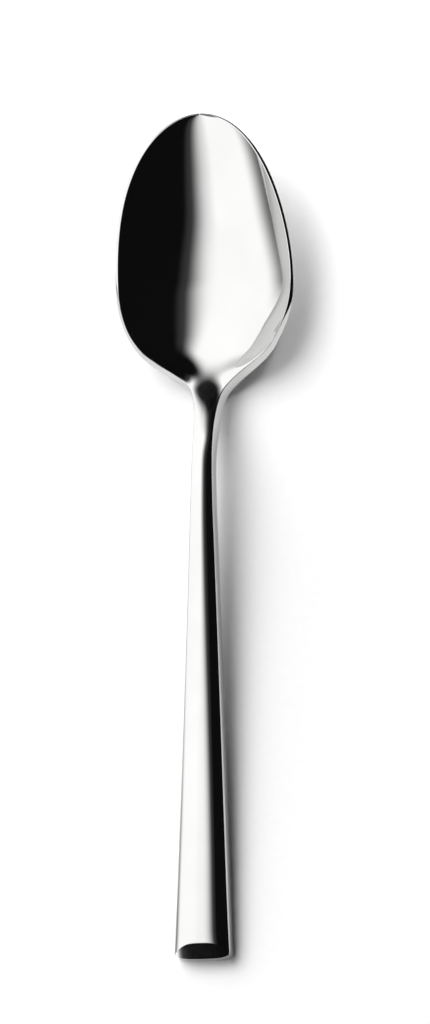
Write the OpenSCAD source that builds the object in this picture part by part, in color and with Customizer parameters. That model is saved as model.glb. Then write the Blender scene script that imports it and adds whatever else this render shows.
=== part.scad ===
// Espresso spoon in polished steel: a pressed bowl and a tapered, domed handle in one piece.
// Frame: x across, +y towards the tip of the bowl, +z up. The spoon rests on z = 0.

/* [Overall] */
// Length from the tip of the bowl to the end of the handle
spoon_len = 110; // [104:1:122]

/* [Bowl outline] */
// Greatest width of the bowl, rim included
bowl_w = 24; // [22:0.5:26]
// Distance from the tip to the widest place of the bowl
bowl_tip_len = 21.5; // [20.5:0.5:22.5]
// Distance from the tip to the place where the bowl has become the neck
neck_at = 37; // [36.5:0.5:38]
// Distance from the tip to the narrowest place of the neck
waist_at = 43; // [42:0.5:44]

/* [Bowl heights] */
// Height of the rim at the tip
tip_z = 8.9; // [8.4:0.1:9.4]
// Height of the rim beside the widest place
rim_z = 5.6; // [5.4:0.1:5.9]
// Height of the top edges where the neck dips into the bowl
dip_z = 3; // [2.9:0.1:3.3]
// Thickness of the metal under the lowest place of the bowl
floor_t = 1.3; // [1.1:0.1:1.5]
// Thickness of the metal beside the tip
tip_t = 0.8; // [0.7:0.1:0.9]

/* [Rim] */
// Width of the rim's flat land along the sides
rim_land = 0.42; // [0.36:0.02:0.48]
// Width of the rim's flat land at the tip
tip_land = 0.2; // [0.16:0.02:0.3]
// Fall of the rim's flat land from its inner to its outer edge
rim_fall = 0.16; // [0.12:0.02:0.22]
// Width of the wall seen from above where the shoulder meets the neck
shoulder_land = 0.62; // [0.5:0.02:0.7]
// Height of the wall where the shoulder meets the neck
shoulder_h = 1.6; // [1.4:0.1:1.7]
// Radius of the rounding along the rim
rim_r = 0.12; // [0.08:0.02:0.14]

/* [Handle] */
// Width of the neck at its narrowest
neck_w = 2.92; // [2.7:0.02:3.2]
// Width of the handle at its end
end_w = 7.7; // [6.9:0.05:8.1]
// Height of the top edges at the highest place of the arch
arch_z = 5.46; // [5.35:0.01:5.65]
// Distance from the tip to the highest place of the arch
arch_at = 45; // [44.5:0.5:46]
// Height of the side walls of the handle at its end
side_h = 1.9; // [1.8:0.1:2.1]
// Height of the side walls of the handle at the arch
arch_h = 1.85; // [1.7:0.05:2]
// Outward slope of the side walls, sideways distance over their height
side_lean = 0.055; // [0.03:0.005:0.1]
// Rise of the domed top over its edges, as a part of half the width
dome_ratio = 0.27; // [0.23:0.01:0.3]
// Radius of the rounding along the edges at the end of the handle
edge_r = 0.32; // [0.2:0.02:0.36]

/* [Handle end] */
// Slope of the bevel at the end, in degrees from the level
bevel_angle = 29; // [27:1:32]
// Distance that the rounded end runs back to its corners
end_bow = 0.9; // [0.6:0.1:1.1]
// Squareness of the rounded end, a larger value gives tighter corners
end_power = 3; // [2.5:0.5:4]
// Length of the soft fall of the domed top just before the bevel
roll_len = 2; // [1.5:0.5:2.5]
// Depth of that soft fall
roll_drop = 0.06; // [0.02:0.02:0.12]

/* [Hidden] */
half_len = spoon_len / 2;
half_bowl = bowl_w / 2 - rim_land;
half_neck = neck_w / 2 - side_lean * arch_h;
half_end = end_w / 2 - side_lean * side_h;
taper = (half_end - half_neck) / (spoon_len - waist_at);

// Exponent of the bowl's inner curve across, of its outer curve across, and of the domed top
hollow_power = 2.3;
belly_power = 2.5;
dome_power = 3.2;

// Half the width between the top edges, from the widest place to the end.
// Each knot is [distance from the tip, value, slope].
edge_knots = [
    [bowl_tip_len, half_bowl, 0],
    [bowl_tip_len + 0.56 * (neck_at - bowl_tip_len), 0.763 * half_bowl, -0.76],
    [neck_at - 4, 0.437 * half_bowl, -1.76],
    [neck_at - 2, 0.218 * half_bowl, -0.8],
    [neck_at, half_neck + 0.375, -0.19],
    [waist_at, half_neck, 0.01],
    [waist_at + 9, half_neck + 5.5 * taper, taper],
    [spoon_len, half_end, 1.1 * taper]
];

// Height of the top edges. They come down to the end of the handle at the slope end_fall.
end_fall = 0.049;
edge_z_knots = [
    [0, tip_z, 0.13],
    [10, tip_z - 0.5, -0.19],
    [bowl_tip_len, rim_z, -0.125],
    [bowl_tip_len + 6, rim_z + 0.01, 0.055],
    [neck_at - 4.2, rim_z - 1.58, -0.535],
    [neck_at - 2.6, dip_z, 0],
    [neck_at - 1.5, dip_z + 0.2, 0.32],
    [waist_at - 3, dip_z + 1.57, 0.3],
    [arch_at, arch_z, 0.005],
    [arch_at + 9, arch_z - 0.34, -0.082],
    [spoon_len, side_h, -end_fall]
];

// The dome of the handle grows from dome_fade to dome_full. The floor of the bowl joins it at floor_join.
dome_fade = neck_at - 4;
dome_full = neck_at + 1.5;
floor_join = neck_at + 4;

// Height of the inner floor of the bowl along the middle line, up to the neck
floor_z_knots = [
    [0, tip_z, -0.42],
    [10, tip_z - 4.3, -0.42],
    [bowl_tip_len, floor_t, 0],
    [neck_at - 6, floor_t + 0.6, 0.22],
    [neck_at - 1.1, floor_t + 2.2, 0.5],
    [floor_join, top_edge_z(floor_join) + dome_rise(floor_join), 0.26]
];

// Width of the land or wall as seen from above, measured square to the outline
land_knots = [
    [0, tip_land, 0.02],
    [9, rim_land, 0.005],
    [bowl_tip_len + 6, rim_land + 0.03, 0.01],
    [neck_at - 4, shoulder_land, 0],
    [neck_at, 0.45, -0.02],
    [neck_at + 4, 0.34, -0.05],
    [arch_at + 1, side_lean * arch_h, 0],
    [spoon_len, side_lean * side_h, 0]
];

// Height of the land or wall from the top edge down to its outer edge
wall_knots = [
    [0, rim_fall, 0],
    [bowl_tip_len - 2, rim_fall, 0.01],
    [bowl_tip_len + 5, rim_fall + 0.5, 0.07],
    [neck_at - 5.5, rim_fall + 0.95, 0.13],
    [neck_at - 1.5, shoulder_h, 0.03],
    [arch_at, arch_h, 0.001],
    [spoon_len, side_h, 0]
];

// Thickness of the metal along the middle line, up to the neck
metal_knots = [
    [0, rim_fall, 0.5],
    [2.5, tip_t, 0.08],
    [bowl_tip_len, floor_t, 0],
    [neck_at - 5, floor_t + 0.4, 0.15],
    [floor_join, wall_h(floor_join) + dome_rise(floor_join), 0.02]
];

// Value of a smooth curve through knots of [place, value, slope]
function knot_before(k, s, i = 0) =
    (i >= len(k) - 2 || s < k[i + 1][0]) ? i : knot_before(k, s, i + 1);
function curve(k, s) =
    let (i = knot_before(k, s), a = k[i], b = k[i + 1], d = b[0] - a[0], t = (s - a[0]) / d)
    (2 * t + 1) * (1 - t) * (1 - t) * a[1] + t * (1 - t) * (1 - t) * d * a[2]
    + t * t * (3 - 2 * t) * b[1] + t * t * (t - 1) * d * b[2];

// Outline of the top edges: an ellipse round the tip, then the knots
function top_edge_x(s) =
    s < bowl_tip_len
    ? half_bowl * sqrt(max(0, 1 - pow((bowl_tip_len - s) / (bowl_tip_len - tip_land), 2)))
    : curve(edge_knots, s);
function top_edge_z(s) = curve(edge_z_knots, s);
function wall_h(s) = curve(wall_knots, s);

// Rise of the domed top over its edges
function smooth_step(t) =
    let (share = min(1, max(0, t)))
    share * share * (3 - 2 * share);
function dome_rise(s) =
    dome_ratio * top_edge_x(s) * smooth_step((s - dome_fade) / (dome_full - dome_fade));

// Slope of the outline, needed to set the wall square to it
slope_step = 0.05;
function edge_slope(s) =
    s < bowl_tip_len
    ? pow(half_bowl / (bowl_tip_len - tip_land), 2) * (bowl_tip_len - s) / max(0.01, top_edge_x(s))
    : (curve(edge_knots, s + slope_step) - curve(edge_knots, s - slope_step)) / (2 * slope_step);

// Height of the top surface along the middle line
function middle_z(s) =
    s < floor_join ? curve(floor_z_knots, s) : top_edge_z(s) + dome_rise(s);

// Cross-section of the top: a dome with the hollow of the bowl pressed into it. Past rolled_from the hollow
// turns into a groove that leaves its edges flat. The values are [edge height, rise, depth, exponent].
rolled_from = neck_at - 9;
rolled_len = 9;
rolled_power = 0.6;
function top_section(s) =
    let (edge = top_edge_z(s), rise = dome_rise(s))
    [edge, rise, edge + rise - middle_z(s), 1 + rolled_power * smooth_step((s - rolled_from) / rolled_len)];

// Height of the top surface at a share u of the half width
function top_at(section, u) =
    let (w = min(1, abs(u)))
    section[0] + section[1] * (1 - pow(w, dome_power))
    - section[2] * pow(1 - pow(w, hollow_power), section[3]);

// Depth of the rounded underside below the outer edges
function belly(s) =
    s < floor_join
    ? max(0, top_edge_z(s) - wall_h(s) - (middle_z(s) - curve(metal_knots, s)))
    : 0;

// Radius of the rounding along the edges. At the very end it is smaller by the part end_sharpen.
end_sharpen = 0.6;
function round_r(s) =
    rim_r + (edge_r - rim_r) * smooth_step((s - neck_at) / (spoon_len - neck_at));

// The rounded end in plan: distance from the end line at a share u of the half width
function end_back(u) = end_bow * (1 - pow(max(0, 1 - pow(abs(u), end_power)), 1 / end_power));

// Distance of the bevel's upper crease from the end outline
crease_gap = 0.05;
function crease_back(u) =
    crease_gap + (dome_ratio * half_end * (1 - pow(abs(u), dome_power)) - roll_drop * (1 - u * u))
    / (tan(bevel_angle) - end_fall);

// Stations along the spoon: [distance from the tip, share of the end's shape, share of the bevel]
tip_steps = 20;
shoulder_steps = 30;
handle_steps = 22;
end_steps = 10;
bevel_steps = 3;
first_angle = 2;
shoulder_end = waist_at + 4;
warp_len = 7;
crease_at = spoon_len - crease_back(0);
warp_start = crease_at - warp_len;
stations = concat(
    [for (i = [0 : tip_steps - 1])
        let (a = first_angle + (90 - first_angle) * i / tip_steps)
        [bowl_tip_len - (bowl_tip_len - tip_land) * cos(a), 0, 0]],
    [for (i = [0 : shoulder_steps - 1])
        [bowl_tip_len + (shoulder_end - bowl_tip_len) * i / shoulder_steps, 0, 0]],
    [for (i = [0 : handle_steps - 1])
        [shoulder_end + (warp_start - shoulder_end) * i / handle_steps, 0, 0]],
    [for (i = [0 : end_steps])
        let (t = i / end_steps)
        [warp_start + warp_len * (1 - pow(1 - t, 1.6)), t, 0]],
    [for (i = [1 : bevel_steps]) [crease_at, 1, i / bevel_steps]]
);

// Place along y of a point at a share u of the half width, in the end region
function end_y(st, u) =
    let (bevel = crease_back(u) * (1 - st[2]),
         plain = half_len - st[0],
         shaped = -half_len + end_back(u) + bevel + (crease_at - st[0]))
    st[1] * shaped + (1 - st[1]) * plain;
function from_tip(y) = half_len - y;

// Soft fall before the crease, and the bevel after it
function roll(st) =
    let (t = max(0, 1 - (crease_at - st[0]) / roll_len))
    roll_drop * t * t;

// Height of the crease along the bevel's upper edge
function crease_z(u) =
    let (s = spoon_len - end_back(u) - crease_back(u))
    top_edge_z(s) + dome_rise(s) * (1 - pow(abs(u), dome_power)) - roll_drop * (1 - u * u);

// Height of a point of the top surface or of the bevel at a share u of the half width
function top_z(st, u, y) =
    let (open = top_at(top_section(from_tip(y)), u) - roll(st) * (1 - u * u),
         low = top_edge_z(spoon_len - end_back(u)) - crease_gap / 2)
    st[2] == 0 ? open : low + (1 - st[2]) * (crease_z(u) - low);

// Height of the underside at a share u of the half width
function under_z(s, u) =
    top_edge_z(s) - wall_h(s) - belly(s) * (1 - pow(abs(u), belly_power));

function unit(v) = v / norm(v);
function bend(a, b, c, t) = (1 - t) * (1 - t) * a + 2 * t * (1 - t) * b + t * t * c;
function mirrored(p) = [-p[0], p[1], p[2]];

// Number of steps across the top and across the underside, and round each edge
across = 24;
edge_steps = 2;

// Share of the half width at which the slope of the top beside its edge is taken
beside_edge = 0.97;

// One closed ring of points: the top from left to right, the right side, the underside, the left side
function ring(st) =
    let (at_end = st[1] > 0,
         y_edge = end_y(st, 1),
         s = from_tip(y_edge),
         x_edge = top_edge_x(s),
         m = edge_slope(s),
         land = curve(land_knots, s) / sqrt(1 + m * m),
         c = [x_edge, y_edge, top_edge_z(s)],
         o = [x_edge + land, y_edge + land * m, top_edge_z(s) - wall_h(s)],
         r = min(round_r(s) * (1 - end_sharpen * st[1]), 0.35 * x_edge),
         r_wall = min(r, 0.45 * norm(o - c)),
         rise = unit([(1 - beside_edge) * x_edge, top_edge_z(s) - top_at(top_section(s), beside_edge)]),
         sag = unit([1, belly(s) * belly_power / o[0]]),
         u_in = 1 - r * rise[0] / x_edge,
         u_out = 1 - r * sag[0] / o[0],
         c_in = [u_in * c[0], at_end ? end_y(st, u_in) : c[1], c[2] - r * rise[1]],
         o_out = [u_out * o[0], at_end ? end_y(st, u_out) : o[1], o[2] - r * sag[1]],
         top = [for (j = [0 : across])
             let (u = u_in * sin(180 * j / across - 90), y = at_end ? end_y(st, u) : c[1])
             [u * c[0], y, top_z(st, u, y)]],
         right = concat(
             [for (i = [1 : edge_steps]) bend(c_in, c, c + r_wall * unit(o - c), i / edge_steps)],
             [for (i = [0 : edge_steps - 1]) bend(o + r_wall * unit(c - o), o, o_out, i / edge_steps)]),
         under = [for (j = [0 : across])
             let (u = u_out * sin(90 - 180 * j / across), y = at_end ? end_y(st, u) : o[1])
             [u * o[0], y, under_z(from_tip(y), u)]],
         left = [for (i = [len(right) - 1 : -1 : 0]) mirrored(right[i])])
    concat(top, right, under, left);

// Triangles that close the first or the last ring
function cap(base, n) =
    let (under_first = across + 1 + 2 * edge_steps)
    concat(
        [for (j = [0 : across - 1])
            let (a = base + j, c = base + under_first + across - j)
            each [[a, c, a + 1], [a + 1, c, c - 1]]],
        [for (j = [across : under_first - 2]) [base + j, base + under_first, base + j + 1]],
        [for (j = [under_first + across : n - 2]) [base, base + j + 1, base + j]]);
function reversed(face) = [face[2], face[1], face[0]];

module spoon() {
    rings = [for (st = stations) ring(st)];
    n = len(rings[0]);
    last = len(rings) - 1;
    points = [for (r = rings) for (p = r) p];
    skin = [for (i = [0 : last - 1]) for (j = [0 : n - 1])
        let (a = i * n + j, b = i * n + (j + 1) % n)
        each [[a, b, a + n], [b, b + n, a + n]]];
    end_cap = [for (f = cap(last * n, n)) reversed(f)];
    color("silver")
        polyhedron(points = points, faces = concat(skin, cap(0, n), end_cap));
}

spoon();
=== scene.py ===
import math

import bpy
from mathutils import Matrix, Vector


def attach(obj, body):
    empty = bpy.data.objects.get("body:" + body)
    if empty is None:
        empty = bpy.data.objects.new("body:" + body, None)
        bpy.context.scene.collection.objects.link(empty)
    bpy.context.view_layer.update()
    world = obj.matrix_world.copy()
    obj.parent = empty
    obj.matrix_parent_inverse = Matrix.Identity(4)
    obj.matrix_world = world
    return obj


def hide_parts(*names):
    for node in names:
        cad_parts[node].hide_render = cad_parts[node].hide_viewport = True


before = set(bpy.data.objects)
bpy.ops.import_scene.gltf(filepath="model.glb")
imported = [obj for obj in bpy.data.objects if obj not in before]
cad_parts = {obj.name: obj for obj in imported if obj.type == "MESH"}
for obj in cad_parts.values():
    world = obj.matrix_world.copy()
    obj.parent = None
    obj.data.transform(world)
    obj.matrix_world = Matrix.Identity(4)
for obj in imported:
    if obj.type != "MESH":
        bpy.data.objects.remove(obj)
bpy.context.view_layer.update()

MM = 0.001

# The camera: tilted to the right and to the front of straight above, and rolled a little
CAMERA_RIGHT = math.radians(15.1)
CAMERA_FRONT = math.radians(10.43)
CAMERA_ROLL = math.radians(-0.785)
CAMERA_DISTANCE = 2.0
SENSOR = 36.0
FRAME_W_PX = 430
FRAME_H_PX = 1024
PX_PER_MM = 7.711
ORIGIN_PX = (211.58, 541.93)

# Sizes of the spoon in millimetres, the same as in the part's source
SPOON_LEN = 110.0
BOWL_W = 24.0
BOWL_TIP_LEN = 21.5
NECK_AT = 37.0
WAIST_AT = 43.0
TIP_Z = 8.9
RIM_Z = 5.6
DIP_Z = 3.0
FLOOR_T = 1.3
TIP_T = 0.8
RIM_LAND = 0.42
TIP_LAND = 0.2
RIM_FALL = 0.16
SHOULDER_LAND = 0.62
SHOULDER_H = 1.6
RIM_R = 0.12
NECK_W = 2.92
END_W = 7.7
ARCH_Z = 5.46
ARCH_AT = 45.0
SIDE_H = 1.9
ARCH_H = 1.85
SIDE_LEAN = 0.055
DOME_RATIO = 0.27
EDGE_R = 0.32
BEVEL_ANGLE = math.radians(29)
END_BOW = 0.9
END_POWER = 3.0
ROLL_LEN = 2.0
ROLL_DROP = 0.06
END_SHARPEN = 0.6
HOLLOW_POWER = 2.3
BELLY_POWER = 2.5
DOME_POWER = 3.2
NECK_DOME_POWER = 1.8
CREASE_GAP = 0.05
END_FALL = 0.049

HALF_LEN = SPOON_LEN / 2
HALF_BOWL = BOWL_W / 2 - RIM_LAND
HALF_NECK = NECK_W / 2 - SIDE_LEAN * ARCH_H
HALF_END = END_W / 2 - SIDE_LEAN * SIDE_H
TAPER = (HALF_END - HALF_NECK) / (SPOON_LEN - WAIST_AT)

# Knots of the smooth curves along the spoon: distance from the tip, value, slope
EDGE_KNOTS = [
    (BOWL_TIP_LEN, HALF_BOWL, 0),
    (BOWL_TIP_LEN + 0.56 * (NECK_AT - BOWL_TIP_LEN), 0.763 * HALF_BOWL, -0.76),
    (NECK_AT - 4, 0.437 * HALF_BOWL, -1.76),
    (NECK_AT - 2, 0.218 * HALF_BOWL, -0.8),
    (NECK_AT, HALF_NECK + 0.375, -0.19),
    (WAIST_AT, HALF_NECK, 0.01),
    (WAIST_AT + 9, HALF_NECK + 5.5 * TAPER, TAPER),
    (SPOON_LEN, HALF_END, 1.1 * TAPER),
]
EDGE_Z_KNOTS = [
    (0, TIP_Z, 0.13),
    (10, TIP_Z - 0.5, -0.19),
    (BOWL_TIP_LEN, RIM_Z, -0.125),
    (BOWL_TIP_LEN + 6, RIM_Z + 0.01, 0.055),
    (NECK_AT - 4.2, RIM_Z - 1.58, -0.535),
    (NECK_AT - 2.6, DIP_Z, 0),
    (NECK_AT - 1.5, DIP_Z + 0.2, 0.32),
    (WAIST_AT - 3, DIP_Z + 1.57, 0.3),
    (ARCH_AT, ARCH_Z, 0.005),
    (ARCH_AT + 9, ARCH_Z - 0.34, -0.082),
    (SPOON_LEN, SIDE_H, -END_FALL),
]
LAND_KNOTS = [
    (0, TIP_LAND, 0.02),
    (9, RIM_LAND, 0.005),
    (BOWL_TIP_LEN + 6, RIM_LAND + 0.03, 0.01),
    (NECK_AT - 4, SHOULDER_LAND, 0),
    (NECK_AT, 0.45, -0.02),
    (NECK_AT + 4, 0.34, -0.05),
    (ARCH_AT + 1, SIDE_LEAN * ARCH_H, 0),
    (SPOON_LEN, SIDE_LEAN * SIDE_H, 0),
]
WALL_KNOTS = [
    (0, RIM_FALL, 0),
    (BOWL_TIP_LEN - 2, RIM_FALL, 0.01),
    (BOWL_TIP_LEN + 5, RIM_FALL + 0.5, 0.07),
    (NECK_AT - 5.5, RIM_FALL + 0.95, 0.13),
    (NECK_AT - 1.5, SHOULDER_H, 0.03),
    (ARCH_AT, ARCH_H, 0.001),
    (SPOON_LEN, SIDE_H, 0),
]


def curve(knots, s):
    """Value at s of the smooth curve through the knots."""
    i = 0
    while i < len(knots) - 2 and s >= knots[i + 1][0]:
        i += 1
    s0, v0, m0 = knots[i]
    s1, v1, m1 = knots[i + 1]
    d = s1 - s0
    t = (s - s0) / d
    back = 1 - t
    start = (2 * t + 1) * back * back * v0 + t * back * back * d * m0
    return start + t * t * (3 - 2 * t) * v1 + t * t * (t - 1) * d * m1


# How far the easing looks to both sides, in general and for the outline, and in how many steps
EASE_REACH = 1.4
EDGE_EASE_REACH = 1.2
EASE_STEPS = 4


def eased(f, s, reach=EASE_REACH):
    """Mean of f near s, so that no curve changes its bend suddenly under the polish."""
    total = 0.0
    weights = 0.0
    for i in range(-EASE_STEPS, EASE_STEPS + 1):
        x = i / (EASE_STEPS + 1)
        w = (1 - x * x) ** 2
        total += w * f(s + reach * x)
        weights += w
    return total / weights


# Where along the spoon one form passes into the next, as distances from the tip
ROUND_TIP_LEN = 5.0
FLOOR_JOIN = NECK_AT + 4
DOME_FADE = NECK_AT - 4
DOME_FULL = NECK_AT + 1.5
ROLLED_FROM = NECK_AT - 9
ROLLED_FLATNESS = 0.6
ROUND_UNTIL = NECK_AT + 13
FLAT_END_LEN = 8.0


def smooth_step(t):
    """Share from 0 to 1 that starts and ends softly."""
    t = min(1.0, max(0.0, t))
    return t * t * (3 - 2 * t)


def edge_x_plain(s):
    """Half width at the rim: an ellipse at the tip, then the curve through the knots."""
    if s < BOWL_TIP_LEN:
        share = (BOWL_TIP_LEN - s) / (BOWL_TIP_LEN - TIP_LAND)
        return HALF_BOWL * math.sqrt(max(0.0, 1 - share * share))
    return curve(EDGE_KNOTS, s)


def top_edge_x(s):
    """Half width of the top surface."""
    if s < ROUND_TIP_LEN:
        return edge_x_plain(s)
    return eased(edge_x_plain, s, min(EDGE_EASE_REACH, (s - ROUND_TIP_LEN) / 2))


def top_edge_z(s):
    """Height of the top surface at its edges."""
    return eased(lambda p: curve(EDGE_Z_KNOTS, p), s)


def wall_h(s):
    """Height of the side wall, or of the fall of the rim around the bowl."""
    return eased(lambda p: curve(WALL_KNOTS, p), s)


def land_w(s):
    """Width of the rim outside the hollow, which turns into the lean of the side wall."""
    return eased(lambda p: curve(LAND_KNOTS, p), s, min(EASE_REACH, s))


def dome_power(s):
    """How flat the middle of the dome is: round at the neck, flatter towards the end."""
    flat_from = CREASE_AT - FLAT_END_LEN
    share = smooth_step((s - ROUND_UNTIL) / (flat_from - ROUND_UNTIL))
    return NECK_DOME_POWER + (DOME_POWER - NECK_DOME_POWER) * share


def dome_rise(s):
    """Rise of the domed top over its edges, which fades out into the bowl."""
    return DOME_RATIO * top_edge_x(s) * smooth_step((s - DOME_FADE) / (DOME_FULL - DOME_FADE))


FLOOR_Z_KNOTS = [
    (0, TIP_Z, -0.42),
    (10, TIP_Z - 4.3, -0.42),
    (BOWL_TIP_LEN, FLOOR_T, 0),
    (NECK_AT - 6, FLOOR_T + 0.6, 0.22),
    (NECK_AT - 1.1, FLOOR_T + 2.2, 0.5),
    (FLOOR_JOIN, top_edge_z(FLOOR_JOIN) + dome_rise(FLOOR_JOIN), 0.26),
]
METAL_KNOTS = [
    (0, RIM_FALL, 0.5),
    (2.5, TIP_T, 0.08),
    (BOWL_TIP_LEN, FLOOR_T, 0),
    (NECK_AT - 5, FLOOR_T + 0.4, 0.15),
    (FLOOR_JOIN, wall_h(FLOOR_JOIN) + dome_rise(FLOOR_JOIN), 0.02),
]


def edge_slope(s):
    """Slope of the outline along the spoon."""
    if s < ROUND_TIP_LEN:
        share = HALF_BOWL / (BOWL_TIP_LEN - TIP_LAND)
        return share * share * (BOWL_TIP_LEN - s) / max(0.01, top_edge_x(s))
    step = 0.05
    return (top_edge_x(s + step) - top_edge_x(s - step)) / (2 * step)


def middle_z(s):
    """Height of the top surface along the middle line, before the soft fall at the end."""
    def plain(p):
        if p < FLOOR_JOIN:
            return curve(FLOOR_Z_KNOTS, p)
        return top_edge_z(p) + dome_rise(p)
    return eased(plain, s)


def top_shape(s):
    """Edge height, rise and power of the dome, depth of the hollow and flatness of its edges."""
    edge = top_edge_z(s)
    rise = dome_rise(s)
    flat = 1 + ROLLED_FLATNESS * smooth_step((s - ROLLED_FROM) / (NECK_AT - ROLLED_FROM))
    return edge, rise, dome_power(s), edge + rise - middle_z(s), flat


def top_at(shape, u):
    """Height of the top surface at a share u of the half width."""
    edge, rise, power, deep, flat = shape
    u = min(1.0, abs(u))
    return edge + rise * (1 - u ** power) - deep * (1 - u ** HOLLOW_POWER) ** flat


def middle_under(s):
    """How far the middle of the underside lies under its edges."""
    return top_edge_z(s) - wall_h(s) - (middle_z(s) - curve(METAL_KNOTS, s))


def belly(s):
    """Depth of the rounded underside: the bowl has one, the handle is flat."""
    if s >= FLOOR_JOIN:
        return 0.0
    return max(0.0, middle_under(s))


def round_r(s):
    """Radius of the long edges."""
    return RIM_R + (EDGE_R - RIM_R) * smooth_step((s - NECK_AT) / (SPOON_LEN - NECK_AT))


def end_back(u):
    """Distance of the rounded end from the end line, at a share u of the half width."""
    return END_BOW * (1 - max(0.0, 1 - abs(u) ** END_POWER) ** (1 / END_POWER))


def crease_back(u):
    """Distance of the bevel's upper crease from the end outline."""
    rise = DOME_RATIO * HALF_END * (1 - abs(u) ** DOME_POWER) - ROLL_DROP * (1 - u * u)
    return CREASE_GAP + rise / (math.tan(BEVEL_ANGLE) - END_FALL)


# Where the rings of points lie, and how many there are in each stretch
CREASE_AT = SPOON_LEN - crease_back(0)
SHOULDER_END = WAIST_AT + 4
WARP_LEN = 7.0
WARP_CROWDING = 1.6
WARP_START = CREASE_AT - WARP_LEN
TIP_STEPS = 60
SHOULDER_STEPS = 110
HANDLE_STEPS = 60
END_STEPS = 30
BEVEL_STEPS = 4
FIRST_ANGLE = 0.5
ACROSS = 72
EDGE_STEPS = 4
# Where the top's slope at its edge is taken, and how large a rounding may be beside its faces
NEAR_EDGE = 0.97
MAX_R_OF_WIDTH = 0.35
MAX_R_OF_WALL = 0.45
SHARP_ANGLE = math.radians(20)


def stations():
    """Places along the spoon: distance from the tip, share of the end's shape, share of the bevel."""
    places = []
    for i in range(TIP_STEPS):
        a = math.radians(FIRST_ANGLE + (90 - FIRST_ANGLE) * i / TIP_STEPS)
        places.append((BOWL_TIP_LEN - (BOWL_TIP_LEN - TIP_LAND) * math.cos(a), 0.0, 0.0))
    for i in range(SHOULDER_STEPS):
        s = BOWL_TIP_LEN + (SHOULDER_END - BOWL_TIP_LEN) * i / SHOULDER_STEPS
        places.append((s, 0.0, 0.0))
    for i in range(HANDLE_STEPS):
        s = SHOULDER_END + (WARP_START - SHOULDER_END) * i / HANDLE_STEPS
        places.append((s, 0.0, 0.0))
    for i in range(END_STEPS + 1):
        t = i / END_STEPS
        places.append((WARP_START + WARP_LEN * (1 - (1 - t) ** WARP_CROWDING), t, 0.0))
    for i in range(1, BEVEL_STEPS + 1):
        places.append((CREASE_AT, 1.0, i / BEVEL_STEPS))
    return places


def end_y(st, u):
    """Place along the spoon of a ring's point, bent to the shape of the end as far as the ring says."""
    bevel = crease_back(u) * (1 - st[2])
    plain = HALF_LEN - st[0]
    shaped = -HALF_LEN + end_back(u) + bevel + (CREASE_AT - st[0])
    return st[1] * shaped + (1 - st[1]) * plain


def crease_z(u):
    """Height of the bevel's upper crease at a share u of the half width."""
    s = SPOON_LEN - end_back(u) - crease_back(u)
    dome = dome_rise(s) * (1 - abs(u) ** DOME_POWER)
    return top_edge_z(s) + dome - ROLL_DROP * (1 - u * u)


def bend(a, b, c, t):
    """Point of the rounding from a to c with its corner at b."""
    return (1 - t) * (1 - t) * a + 2 * t * (1 - t) * b + t * t * c


def ring(st):
    """One closed ring of points in millimetres: top, right side, underside, left side."""
    at_end = st[1] > 0
    y_edge = end_y(st, 1)
    s = HALF_LEN - y_edge
    x_edge = top_edge_x(s)
    m = edge_slope(s)
    land = land_w(s) / math.sqrt(1 + m * m)
    edge_z = top_edge_z(s)
    c = Vector((x_edge, y_edge, edge_z))
    o = Vector((x_edge + land, y_edge + land * m, edge_z - wall_h(s)))
    r = min(round_r(s) * (1 - END_SHARPEN * st[1]), MAX_R_OF_WIDTH * x_edge)
    r_wall = min(r, MAX_R_OF_WALL * (o - c).length)
    shape = top_shape(s)
    sag = belly(s)
    rise_dir = Vector(((1 - NEAR_EDGE) * x_edge, edge_z - top_at(shape, NEAR_EDGE))).normalized()
    sag_dir = Vector((1, sag * BELLY_POWER / o.x)).normalized()
    u_in = 1 - r * rise_dir.x / x_edge
    u_out = 1 - r * sag_dir.x / o.x
    c_in = Vector((u_in * c.x, end_y(st, u_in) if at_end else c.y, c.z - r * rise_dir.y))
    o_out = Vector((u_out * o.x, end_y(st, u_out) if at_end else o.y, o.z - r * sag_dir.y))
    fall = max(0.0, 1 - (CREASE_AT - st[0]) / ROLL_LEN)
    roll = ROLL_DROP * fall * fall
    top = []
    for j in range(ACROSS + 1):
        u = u_in * math.sin(math.pi * (j / ACROSS - 0.5))
        y = end_y(st, u) if at_end else c.y
        if st[2] == 0:
            p = HALF_LEN - y
            z = top_at(top_shape(p) if at_end else shape, u)
            z -= roll * (1 - u * u)
        else:
            low = top_edge_z(SPOON_LEN - end_back(u)) - CREASE_GAP / 2
            z = low + (1 - st[2]) * (crease_z(u) - low)
        top.append(Vector((u * c.x, y, z)))
    wall_dir = (o - c).normalized()
    right = [bend(c_in, c, c + r_wall * wall_dir, i / EDGE_STEPS) for i in range(1, EDGE_STEPS + 1)]
    right += [bend(o - r_wall * wall_dir, o, o_out, i / EDGE_STEPS) for i in range(EDGE_STEPS)]
    under = []
    for j in range(ACROSS + 1):
        u = u_out * math.sin(math.pi * (0.5 - j / ACROSS))
        y = end_y(st, u) if at_end else o.y
        p = HALF_LEN - y
        if at_end:
            z = top_edge_z(p) - wall_h(p)
        else:
            z = o.z - sag * (1 - abs(u) ** BELLY_POWER)
        under.append(Vector((u * o.x, y, z)))
    left = [Vector((-q.x, q.y, q.z)) for q in reversed(right)]
    return top + right + under + left


def cap_faces(base, n):
    """Faces that close a ring, from its top row to its underside row."""
    under_first = ACROSS + 1 + 2 * EDGE_STEPS
    faces = []
    for j in range(ACROSS):
        a = base + j
        c = base + under_first + ACROSS - j
        faces.append((a, c, c - 1, a + 1))
    faces.append(tuple(base + j for j in range(ACROSS, under_first + 1)))
    faces.append((base,) + tuple(base + j for j in range(n - 1, under_first + ACROSS - 1, -1)))
    return faces


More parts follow.
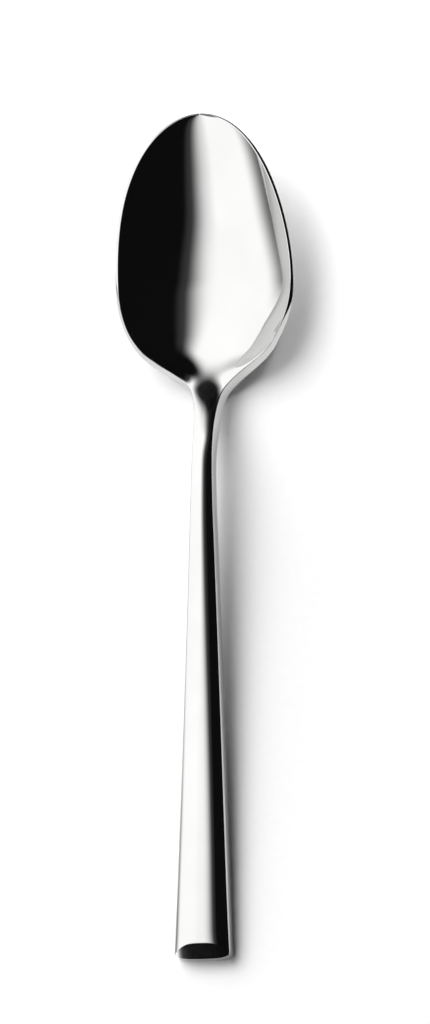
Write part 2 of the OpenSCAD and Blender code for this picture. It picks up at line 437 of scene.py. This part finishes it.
def spoon_mesh():
    """Skin over all rings, closed at the tip and at the end."""
    rings = [ring(st) for st in stations()]
    n = len(rings[0])
    points = [p * MM for r in rings for p in r]
    faces = []
    for i in range(len(rings) - 1):
        for j in range(n):
            a = i * n + j
            b = i * n + (j + 1) % n
            faces.append((a, b, b + n, a + n))
    faces += cap_faces(0, n)
    last = (len(rings) - 1) * n
    faces += [tuple(reversed(f)) for f in cap_faces(last, n)]
    mesh = bpy.data.meshes.new("spoon_skin")
    mesh.from_pydata([tuple(p) for p in points], [], faces)
    mesh.validate()
    mesh.update()
    mesh.shade_smooth()
    mesh.set_sharp_from_angle(angle=SHARP_ANGLE)
    return mesh


class Nodes:
    """Small helper that adds and links shader nodes."""

    def __init__(self, tree):
        self.tree = tree
        tree.nodes.clear()

    def add(self, kind, inputs=None, **settings):
        node = self.tree.nodes.new(kind)
        for name, value in settings.items():
            setattr(node, name, value)
        for name, value in (inputs or {}).items():
            socket = node.inputs[name]
            if isinstance(value, bpy.types.NodeSocket):
                self.tree.links.new(value, socket)
            else:
                socket.default_value = value
        return node

    def math(self, operation, a, b=0.0):
        return self.add("ShaderNodeMath", {0: a, 1: b}, operation=operation).outputs[0]

    def step(self, value, low, high, start=0.0, end=1.0):
        """Smooth step of value from low to high."""
        node = self.add(
            "ShaderNodeMapRange",
            {"Value": value, "From Min": low, "From Max": high, "To Min": start, "To Max": end},
            interpolation_type="SMOOTHSTEP",
        )
        return node.outputs["Result"]

    def mix_colours(self, share, first, second):
        """Colour between two: a Mix node has its colours in the sockets 6 and 7."""
        node = self.add("ShaderNodeMix", {"Factor": share, 6: first, 7: second}, data_type="RGBA")
        return node.outputs[2]

    def mix_values(self, share, first, second):
        """Number between two: a Mix node has its numbers in the sockets 2 and 3."""
        return self.add("ShaderNodeMix", {"Factor": share, 2: first, 3: second}).outputs[0]


STEEL_DARKER = (0.59, 0.59, 0.585, 1)
STEEL_LIGHTER = (0.615, 0.615, 0.61, 1)
HAIR_SCALES = (2600, 160, 2600)
CLOUD_SCALE = 110.0
ROUGH_LEAST = 0.045
ROUGH_MOST = 0.075
FLOOR_DARKER = (0.94, 0.94, 0.94, 1)
FLOOR_LIGHTER = (0.96, 0.96, 0.96, 1)
GRAIN_SCALE = 900.0


def polished_steel():
    """Mirror-polished steel with fine hairs along the spoon and a faint cloud of tone."""
    mat = bpy.data.materials.new("polished_steel")
    mat.use_nodes = True
    n = Nodes(mat.node_tree)
    place = n.add("ShaderNodeTexCoord").outputs["Object"]
    along = n.add("ShaderNodeMapping", {"Vector": place, "Scale": HAIR_SCALES}).outputs[0]
    hairs = n.add("ShaderNodeTexNoise", {"Vector": along, "Scale": 1.0, "Detail": 3.0}).outputs[0]
    cloud = n.add("ShaderNodeTexNoise", {"Vector": place, "Scale": CLOUD_SCALE, "Detail": 2.0}).outputs[0]
    colour = n.mix_colours(n.step(cloud, 0.3, 0.7), STEEL_DARKER, STEEL_LIGHTER)
    rough = n.add(
        "ShaderNodeMapRange",
        {"Value": hairs, "From Min": 0.3, "From Max": 0.7, "To Min": ROUGH_LEAST, "To Max": ROUGH_MOST},
    ).outputs["Result"]
    bump = n.add(
        "ShaderNodeBump", {"Height": hairs, "Strength": 0.01, "Distance": 0.00002}
    ).outputs[0]
    shader = n.add(
        "ShaderNodeBsdfPrincipled",
        {"Base Color": colour, "Metallic": 1.0, "Roughness": rough, "Normal": bump},
    )
    out = n.add("ShaderNodeOutputMaterial")
    mat.node_tree.links.new(shader.outputs[0], out.inputs["Surface"])
    return mat


def pale_floor():
    """Plain pale floor with a grain too fine to see."""
    mat = bpy.data.materials.new("pale_floor")
    mat.use_nodes = True
    n = Nodes(mat.node_tree)
    place = n.add("ShaderNodeTexCoord").outputs["Object"]
    grain = n.add("ShaderNodeTexNoise", {"Vector": place, "Scale": GRAIN_SCALE, "Detail": 2.0}).outputs[0]
    colour = n.mix_colours(n.step(grain, 0.2, 0.8), FLOOR_DARKER, FLOOR_LIGHTER)
    shader = n.add("ShaderNodeBsdfDiffuse", {"Color": colour})
    out = n.add("ShaderNodeOutputMaterial")
    mat.node_tree.links.new(shader.outputs[0], out.inputs["Surface"])
    return mat


FLOOR_SIZE = 3.0

# What the steel mirrors: a wide soft box over the left of the table, dark to the right and to the ends.
# Angles are taken from straight above, to the left and along the spoon.
BOX_DARK_AT = math.radians(-6)
BOX_WHITE_AT = math.radians(19)
# A dim grey strip lies between the box and the dark room
STRIP_DARK_AT = math.radians(-16)
STRIP_GREY_AT = math.radians(-6)
STRIP_GREY = 0.03
# The right edge of the box bends to the right towards the tip, and to the left towards the handle
TURN_BACK = 0.78
TURN_FRONT = 0.78
# Where the box ends towards the handle and towards the tip, and how much sooner it ends at its right corner
BOX_FRONT_WHITE = math.sin(math.radians(41))
BOX_FRONT_DARK = math.sin(math.radians(45))
BOX_BACK_WHITE = math.sin(math.radians(34.5))
BOX_BACK_DARK = math.sin(math.radians(51))
BOX_CORNER = 0.09
BOX_CORNER_FROM = math.radians(-20)
BOX_CORNER_TO = math.radians(20)
BOX_WHITE = 1.54
ROOM_DARK = 0.006
# The gap under the left of the box, as a share of the box's light, which closes towards the tip
GAP_FROM = math.radians(67)
GAP_FULL = math.radians(91)
GAP_GREY = 0.12
GAP_FADES_FROM = 0.1
GAP_FADES_TO = 0.4

# What lights the table: a soft disc to the left and to the back, a little from the whole left side,
# and a trace from all round
KEY_LEAN = math.radians(34)
KEY_BACK = math.radians(27)
KEY_EDGE = math.cos(math.radians(38))
KEY_FULL = math.cos(math.radians(8))
KEY_LIGHT = 4.9
LEFT_FROM = 0.0
LEFT_FULL = math.radians(20)
LEFT_LIGHT = 0.68
AROUND_LIGHT = 0.035
# A small lamp to the right of the tip and behind it
FILL_PLACE = Vector((90, 120, 120)) * MM
FILL_AT = Vector((15, 50, 0)) * MM
FILL_POWER = 0.7
FILL_SPREAD = math.radians(22)
FILL_RADIUS = 0.02


def mirrored_studio(n, axes, lean):
    """Strength that the steel mirrors, in the direction given by the axes and its lean to the left."""
    square = n.math("MULTIPLY", axes["Y"], n.math("ABSOLUTE", axes["Y"]))
    cube = n.math("MULTIPLY", square, n.math("ABSOLUTE", axes["Y"]))
    turn = n.math("MAXIMUM", n.math("MULTIPLY", square, TURN_BACK), n.math("MULTIPLY", cube, TURN_FRONT))
    turned = n.math("ADD", lean, turn)
    strip = n.step(turned, STRIP_DARK_AT, STRIP_GREY_AT, 0.0, STRIP_GREY)
    left = n.math("ADD", n.step(turned, BOX_DARK_AT, BOX_WHITE_AT), strip)
    front = n.step(n.math("MULTIPLY", axes["Y"], -1.0), BOX_FRONT_WHITE, BOX_FRONT_DARK, 1.0, 0.0)
    corner = n.step(lean, BOX_CORNER_FROM, BOX_CORNER_TO, BOX_CORNER, 0.0)
    back = n.step(n.math("ADD", axes["Y"], corner), BOX_BACK_WHITE, BOX_BACK_DARK, 1.0, 0.0)
    gap = n.step(axes["Y"], GAP_FADES_FROM, GAP_FADES_TO, 1.0 - GAP_GREY, 0.0)
    low = n.math("SUBTRACT", 1.0, n.math("MULTIPLY", n.step(lean, GAP_FROM, GAP_FULL), gap))
    lit = n.math("MULTIPLY", n.math("MULTIPLY", front, back), n.math("MULTIPLY", left, low))
    return n.math("ADD", n.math("MULTIPLY", lit, BOX_WHITE), ROOM_DARK)


def table_light(n, direction, lean):
    """Strength of the light on the table that comes from the direction."""
    level = math.cos(KEY_BACK)
    middle = (-math.sin(KEY_LEAN) * level, math.sin(KEY_BACK), math.cos(KEY_LEAN) * level)
    near = n.add("ShaderNodeVectorMath", {0: direction, 1: middle}, operation="DOT_PRODUCT").outputs["Value"]
    key = n.step(near, KEY_EDGE, KEY_FULL, AROUND_LIGHT, AROUND_LIGHT + KEY_LIGHT)
    return n.math("ADD", key, n.step(lean, LEFT_FROM, LEFT_FULL, 0.0, LEFT_LIGHT))


def studio_world():
    """Soft light from the left for the table, the soft box for the steel, white for the camera."""
    world = bpy.data.worlds.new("studio")
    bpy.context.scene.world = world
    world.use_nodes = True
    n = Nodes(world.node_tree)
    direction = n.add("ShaderNodeTexCoord").outputs["Generated"]
    axes = n.add("ShaderNodeSeparateXYZ", {"Vector": direction}).outputs
    lean = n.math("ARCTAN2", n.math("MULTIPLY", axes["X"], -1.0), axes["Z"])
    light = table_light(n, direction, lean)
    mirrored = mirrored_studio(n, axes, lean)
    path = n.add("ShaderNodeLightPath").outputs
    strength = n.mix_values(path["Is Glossy Ray"], light, mirrored)
    shown = n.mix_values(path["Is Camera Ray"], strength, 1.0)
    sky = n.add("ShaderNodeBackground", {"Color": (1, 1, 1, 1), "Strength": shown})
    out = n.add("ShaderNodeOutputWorld")
    world.node_tree.links.new(sky.outputs[0], out.inputs["Surface"])


def add_fill():
    """Small lamp that lightens the shadow to the right of the bowl, and that the steel doesn't mirror."""
    data = bpy.data.lights.new("fill", "SPOT")
    data.energy = FILL_POWER
    data.spot_size = FILL_SPREAD
    data.spot_blend = 1.0
    data.shadow_soft_size = FILL_RADIUS
    fill = bpy.data.objects.new("fill", data)
    fill.location = FILL_PLACE
    fill.rotation_euler = (FILL_AT - FILL_PLACE).to_track_quat("-Z", "Y").to_euler()
    fill.visible_glossy = False
    bpy.context.scene.collection.objects.link(fill)


def add_floor():
    """Plain floor that the spoon lies on."""
    half = FLOOR_SIZE / 2
    mesh = bpy.data.meshes.new("floor")
    corners = [(-half, -half, 0), (half, -half, 0), (half, half, 0), (-half, half, 0)]
    mesh.from_pydata(corners, [], [(0, 1, 2, 3)])
    mesh.materials.append(pale_floor())
    floor = bpy.data.objects.new("floor", mesh)
    bpy.context.scene.collection.objects.link(floor)


def add_camera():
    """Camera with a long lens, placed so that the frame's origin falls where it does in the photo."""
    cos_b, sin_b = math.cos(CAMERA_RIGHT), math.sin(CAMERA_RIGHT)
    cos_g, sin_g = math.cos(CAMERA_FRONT), math.sin(CAMERA_FRONT)
    right = Vector((cos_b, 0, -sin_b))
    up = Vector((sin_b * sin_g, cos_g, cos_b * sin_g))
    back = Vector((sin_b * cos_g, -sin_g, cos_b * cos_g))
    cam_right = math.cos(CAMERA_ROLL) * right - math.sin(CAMERA_ROLL) * up
    cam_up = math.sin(CAMERA_ROLL) * right + math.cos(CAMERA_ROLL) * up
    shift_right = (FRAME_W_PX / 2 - ORIGIN_PX[0]) / PX_PER_MM * MM
    shift_up = (ORIGIN_PX[1] - FRAME_H_PX / 2) / PX_PER_MM * MM
    place = cam_right * shift_right + cam_up * shift_up + back * CAMERA_DISTANCE
    data = bpy.data.cameras.new("camera")
    data.sensor_width = SENSOR
    data.lens = SENSOR * CAMERA_DISTANCE / (FRAME_H_PX / PX_PER_MM * MM)
    data.clip_end = 10.0
    camera = bpy.data.objects.new("camera", data)
    matrix = Matrix.Identity(4)
    for i, axis in enumerate((cam_right, cam_up, back)):
        for k in range(3):
            matrix[k][i] = axis[k]
    matrix.translation = place
    camera.matrix_world = matrix
    bpy.context.scene.collection.objects.link(camera)
    bpy.context.scene.camera = camera


def add_spoon():
    """The visible spoon, in place of the solid of the same name."""
    mesh = spoon_mesh()
    mesh.materials.append(polished_steel())
    spoon = bpy.data.objects.new("spoon_skin", mesh)
    bpy.context.scene.collection.objects.link(spoon)
    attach(spoon, "root")
    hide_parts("spoon")


add_spoon()
add_floor()
studio_world()
add_fill()
add_camera()
bpy.context.scene.view_settings.view_transform = "Standard"
